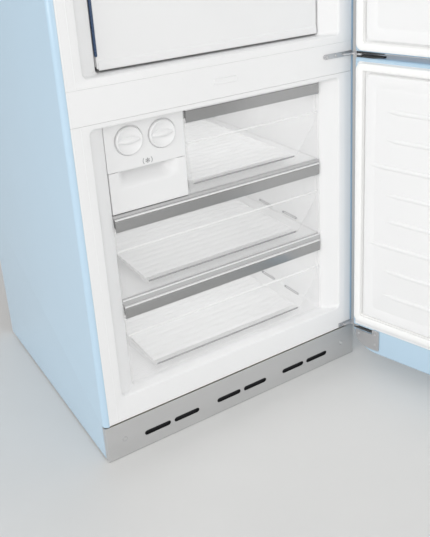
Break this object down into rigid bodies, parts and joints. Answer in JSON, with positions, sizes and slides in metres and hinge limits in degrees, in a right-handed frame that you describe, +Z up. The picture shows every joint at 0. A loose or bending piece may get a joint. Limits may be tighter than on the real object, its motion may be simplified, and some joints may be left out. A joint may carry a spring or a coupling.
{
  "type": "bottom-freezer refrigerator",
  "caption": "Tall retro fridge-freezer with a rolled-edge cabinet, bulged right-hinged doors shown open, clear freezer drawers, an ice maker, glass shelves and a slotted kick plate.",
  "frame": {"origin": "centre of the flat underside of the base pan, 62 mm above the floor", "axes": "+Z up; +X to the hinge side, the right of someone facing the open front; +Y into the cabinet, so the front faces -Y"},
  "size_m": [0.9909, 1.3697, 2.05],
  "materials": {
    "blue_enamel": "pastel blue gloss stove enamel",
    "foam": "rigid polyurethane foam, hidden",
    "zinc_steel": "zinc-plated sheet",
    "black_sheet": "matt black sheet",
    "liner_white": "satin white thermoformed plastic",
    "satin_steel": "satin silver",
    "black_plastic": "matt black",
    "black_iron": "black enamel on a drawn steel can",
    "fin_metal": "mill finish fins",
    "clear_plastic": "clear moulded polystyrene",
    "silver_trim": "satin silver-grey",
    "shelf_white": "satin white moulded plastic",
    "module_white": "fine satin white moulded plastic",
    "navy_trim": "smooth navy blue",
    "shelf_glass": "toughened glass",
    "hinge_steel": "grey plated steel",
    "seal_rubber": "pale grey magnetic seal",
    "chrome": "polished chrome"
  },
  "bodies": {
    "cabinet": {"cabinet_shell": "blue_enamel", "cabinet_foam": "foam", "back_panel": "zinc_steel", "rear_cover": "black_sheet", "freezer_liner": "liner_white", "fridge_liner": "liner_white", "mullion_cover": "liner_white", "mullion_plate": "liner_white", "kick_plate": "satin_steel", "base_pan": "zinc_steel", "base_rail_right": "zinc_steel", "base_rail_left": "zinc_steel", "compressor": "black_iron", "condenser": "fin_metal", "freezer_duct_cover": "liner_white", "evaporator": "fin_metal", "freezer_shelf_lower": "shelf_white", "freezer_shelf_upper": "shelf_white", "ice_maker_body": "module_white", "zone_shelf": "shelf_glass", "crisper_shelf": "shelf_glass", "glass_shelf_middle": "shelf_glass", "glass_shelf_upper": "shelf_glass", "control_box": "module_white", "bottom_hinge": "hinge_steel", "middle_hinge": "hinge_steel", "top_hinge": "hinge_steel"},
    "freezer_door": {"freezer_door_shell": "blue_enamel", "freezer_door_foam": "foam", "freezer_door_lining": "liner_white", "freezer_door_seal": "seal_rubber", "freezer_door_handle": "chrome", "freezer_hinge_plate": "hinge_steel"},
    "fridge_door": {"fridge_door_shell": "blue_enamel", "fridge_door_foam": "foam", "fridge_door_lining": "liner_white", "fridge_door_seal": "seal_rubber", "fridge_door_handle": "chrome", "bottle_bin": "clear_plastic", "upper_door_bin": "clear_plastic"},
    "bottom_drawer": {"bottom_drawer": "clear_plastic", "bottom_drawer_trim": "silver_trim"},
    "middle_drawer": {"middle_drawer": "clear_plastic", "middle_drawer_trim": "silver_trim"},
    "top_drawer": {"top_drawer": "clear_plastic", "top_drawer_trim": "silver_trim"},
    "ice_bin": {"ice_bin": "module_white"},
    "ice_twist_left": {"ice_knob_left": "module_white", "ice_tray_left": "module_white"},
    "ice_twist_right": {"ice_knob_right": "module_white", "ice_tray_right": "module_white"},
    "zone_drawer": {"zone_drawer": "module_white", "zone_strip": "navy_trim"},
    "crisper_drawer": {"crisper_drawer": "clear_plastic"},
    "temperature_knob": {"temperature_knob": "module_white"},
    "evaporator_fan": {"evaporator_fan": "black_plastic"},
    "roller_left": {"roller_left": "black_plastic"},
    "roller_right": {"roller_right": "black_plastic"},
    "foot_left": {"foot_left": "black_plastic"},
    "foot_right": {"foot_right": "black_plastic"}
  },
  "joints": [
    {"name": "freezer_door_swing", "type": "hinge", "parent": "cabinet", "child": "freezer_door", "pos_m": [0.345, -0.361, 0.3], "axis": [0, 0, 1], "range_deg": [-105.5, 10]},
    {"name": "fridge_door_swing", "type": "hinge", "parent": "cabinet", "child": "fridge_door", "pos_m": [0.345, -0.361, 1.3], "axis": [0, 0, 1], "range_deg": [-105.5, 10]},
    {"name": "bottom_drawer_slide", "type": "slide", "parent": "cabinet", "child": "bottom_drawer", "axis": [0, -1, 0], "range_m": [0, 0.3]},
    {"name": "middle_drawer_slide", "type": "slide", "parent": "cabinet", "child": "middle_drawer", "axis": [0, -1, 0], "range_m": [0, 0.4]},
    {"name": "top_drawer_slide", "type": "slide", "parent": "cabinet", "child": "top_drawer", "axis": [0, -1, 0], "range_m": [0, 0.4]},
    {"name": "ice_bin_slide", "type": "slide", "parent": "cabinet", "child": "ice_bin", "axis": [0, -1, 0], "range_m": [0, 0.26]},
    {"name": "zone_drawer_slide", "type": "slide", "parent": "cabinet", "child": "zone_drawer", "axis": [0, -1, 0], "range_m": [0, 0.38]},
    {"name": "crisper_drawer_slide", "type": "slide", "parent": "cabinet", "child": "crisper_drawer", "axis": [0, -1, 0], "range_m": [0, 0.36]},
    {"name": "ice_twist_left", "type": "hinge", "parent": "cabinet", "child": "ice_twist_left", "pos_m": [-0.21425, -0.15, 0.643], "axis": [0, 1, 0], "range_deg": [0, 130], "stiffness_Nm_per_rad": 0.05},
    {"name": "ice_twist_right", "type": "hinge", "parent": "cabinet", "child": "ice_twist_right", "pos_m": [-0.14025, -0.15, 0.643], "axis": [0, 1, 0], "range_deg": [0, 130], "stiffness_Nm_per_rad": 0.05},
    {"name": "temperature_turn", "type": "hinge", "parent": "cabinet", "child": "temperature_knob", "pos_m": [0, -0.284, 1.867], "axis": [0, 1, 0], "range_deg": [0, 270]},
    {"name": "evaporator_fan_spin", "type": "hinge", "parent": "cabinet", "child": "evaporator_fan", "pos_m": [0, 0.231, 0.606], "axis": [0, 1, 0], "continuous": true},
    {"name": "roller_spin_left", "type": "hinge", "parent": "cabinet", "child": "roller_left", "pos_m": [-0.322, 0.275, -0.042], "axis": [1, 0, 0], "continuous": true},
    {"name": "foot_turn_left", "type": "hinge", "parent": "cabinet", "child": "foot_left", "pos_m": [-0.322, -0.29, -0.058], "axis": [0, 0, 1], "continuous": true},
    {"name": "roller_spin_right", "type": "hinge", "parent": "cabinet", "child": "roller_right", "pos_m": [0.322, 0.275, -0.042], "axis": [1, 0, 0], "continuous": true},
    {"name": "foot_turn_right", "type": "hinge", "parent": "cabinet", "child": "foot_right", "pos_m": [0.322, -0.29, -0.058], "axis": [0, 0, 1], "continuous": true}
  ]
}
